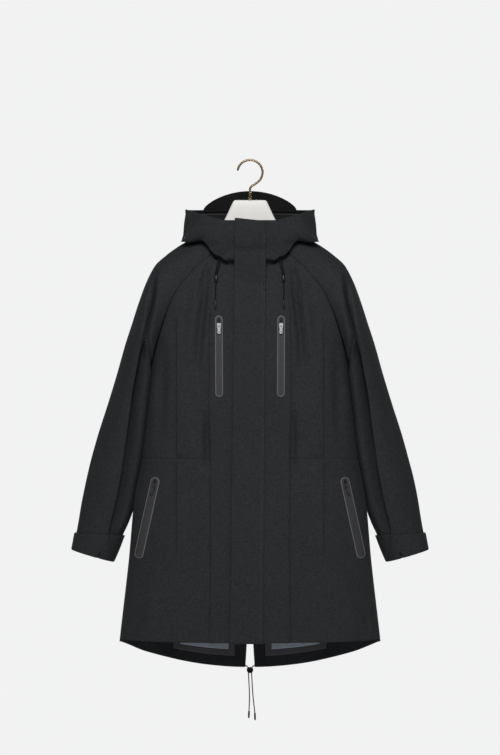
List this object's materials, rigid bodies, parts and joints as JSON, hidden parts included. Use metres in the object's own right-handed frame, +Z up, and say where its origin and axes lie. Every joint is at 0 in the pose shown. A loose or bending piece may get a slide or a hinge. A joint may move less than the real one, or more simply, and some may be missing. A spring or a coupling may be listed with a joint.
{
  "type": "hooded parka on a hanger",
  "caption": "Long hooded raglan parka on a hanger, with a storm flap, pleated sides, welded zips, turned-up cuffs and a fishtail hem with a cord and toggle.",
  "frame": {"origin": "inner top of the hanger's hook, where a rail or peg carries it", "axes": "+Z up, -Y the front of the garment, +X the viewer's right"},
  "size_m": [0.8028, 0.2599, 1.273],
  "materials": {
    "cloth": "matte tightly woven shell cloth",
    "zip_frame": "welded film, satin",
    "zip_tape": "coated tape",
    "zip_metal": "dark plated",
    "cord": "braided",
    "fitting": "moulded",
    "lining": "smooth film-backed lining",
    "seam_tape": "heat-sealed film",
    "hanger": "satin lacquer",
    "hook": "aged, knurled",
    "shaft": "polished"
  },
  "bodies": {
    "root": {"hanger_body": "hanger", "hanger_hook": "hook", "hanger_shaft": "shaft", "back": "cloth", "front_centre_left": "cloth", "front_centre_right": "cloth", "front_chest_left": "cloth", "front_chest_right": "cloth", "front_skirt_left": "cloth", "front_skirt_right": "cloth", "storm_flap": "cloth", "sleeve_left": "cloth", "sleeve_right": "cloth", "cuff_left": "cloth", "cuff_right": "cloth", "hood": "cloth", "hood_brim": "cloth", "neck_band": "cloth", "neck_lining": "lining", "lining_left": "lining", "lining_right": "lining", "hem_tape_left": "seam_tape", "hem_tape_right": "seam_tape", "chest_zip_frame_left": "zip_frame", "chest_zip_frame_right": "zip_frame", "hand_zip_frame_left": "zip_frame", "hand_zip_frame_right": "zip_frame", "chest_zip_tape_left": "zip_tape", "chest_zip_tape_right": "zip_tape", "hand_zip_tape_left": "zip_tape", "hand_zip_tape_right": "zip_tape", "chest_zip_slider_left": "zip_metal", "chest_zip_slider_right": "zip_metal", "hand_zip_slider_left": "zip_metal", "hand_zip_slider_right": "zip_metal", "eyelet_left": "fitting", "eyelet_right": "fitting", "neck_cord_left_inner": "cord", "neck_cord_left_outer": "cord", "neck_cord_left_tail": "cord", "neck_cord_right_inner": "cord", "neck_cord_right_outer": "cord", "neck_cord_right_tail": "cord", "bead_left": "fitting", "bead_right": "fitting", "aglet_left": "fitting", "aglet_right": "fitting", "toggle": "fitting", "hem_cord_left_top": "cord", "hem_cord_left_tail": "cord", "hem_cord_right_top": "cord", "hem_cord_right_tail": "cord", "hem_tip_left": "fitting", "hem_tip_right": "fitting"},
    "chest_pull_left": {"chest_zip_pull_left": "zip_metal"},
    "chest_pull_right": {"chest_zip_pull_right": "zip_metal"},
    "hand_pull_left": {"hand_zip_pull_left": "zip_metal"},
    "hand_pull_right": {"hand_zip_pull_right": "zip_metal"}
  },
  "joints": [
    {"name": "chest_pull_left_swing", "type": "hinge", "parent": "root", "child": "chest_pull_left", "pos_m": [-0.06926, -0.07506, -0.37056], "axis": [-0.998, -0.0638, 0.0015], "range_deg": [0, 150]},
    {"name": "chest_pull_right_swing", "type": "hinge", "parent": "root", "child": "chest_pull_right", "pos_m": [0.06926, -0.07506, -0.37056], "axis": [-0.998, 0.0638, -0.0015], "range_deg": [0, 150]},
    {"name": "hand_pull_left_swing", "type": "hinge", "parent": "root", "child": "hand_pull_left", "pos_m": [-0.21679, -0.06291, -0.72907], "axis": [-0.8785, 0.4392, 0.1878], "range_deg": [0, 150]},
    {"name": "hand_pull_right_swing", "type": "hinge", "parent": "root", "child": "hand_pull_right", "pos_m": [0.21679, -0.06291, -0.72907], "axis": [-0.8785, -0.4392, -0.1878], "range_deg": [0, 150]}
  ]
}
